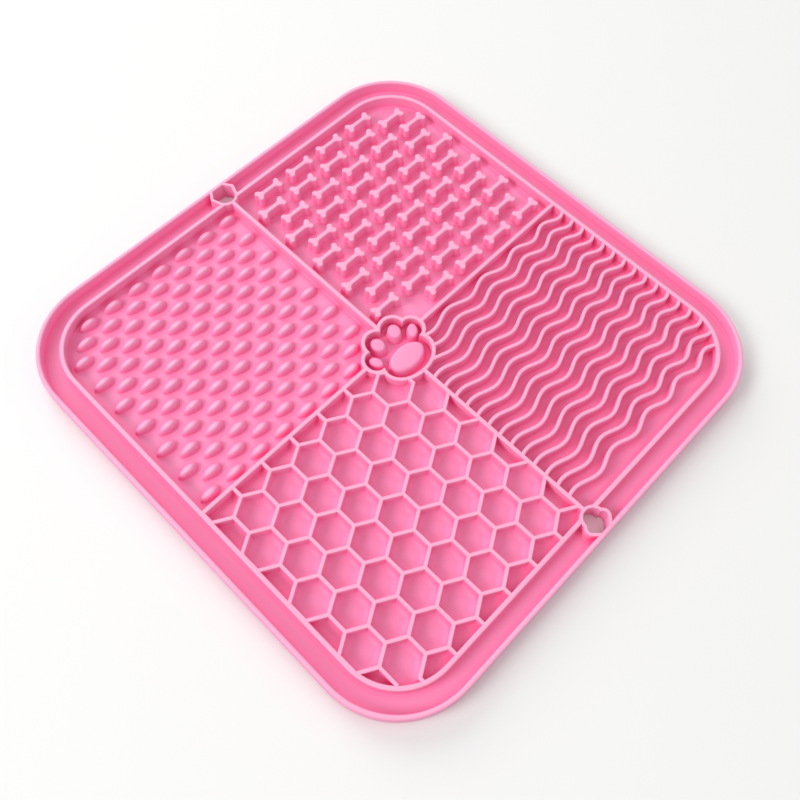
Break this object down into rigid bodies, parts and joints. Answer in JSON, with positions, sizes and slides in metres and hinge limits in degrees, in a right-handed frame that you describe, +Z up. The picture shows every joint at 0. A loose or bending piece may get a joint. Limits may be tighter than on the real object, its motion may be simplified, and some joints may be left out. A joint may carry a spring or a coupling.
{
  "type": "pet lick mat",
  "caption": "Flat square silicone pet feeding mat with a raised rim, four fields of raised shapes, a paw in the middle and hanging holes.",
  "frame": {"origin": "centre of the underside, on the surface that the mat lies on", "axes": "+Z up out of the raised side, +Y where the paw's toes point, +X to the right with the toes up"},
  "size_m": [0.2, 0.2, 0.0072],
  "materials": {
    "silicone": "soft matte pink silicone"
  },
  "bodies": {
    "root": {"mat": "silicone"}
  },
  "joints": []
}
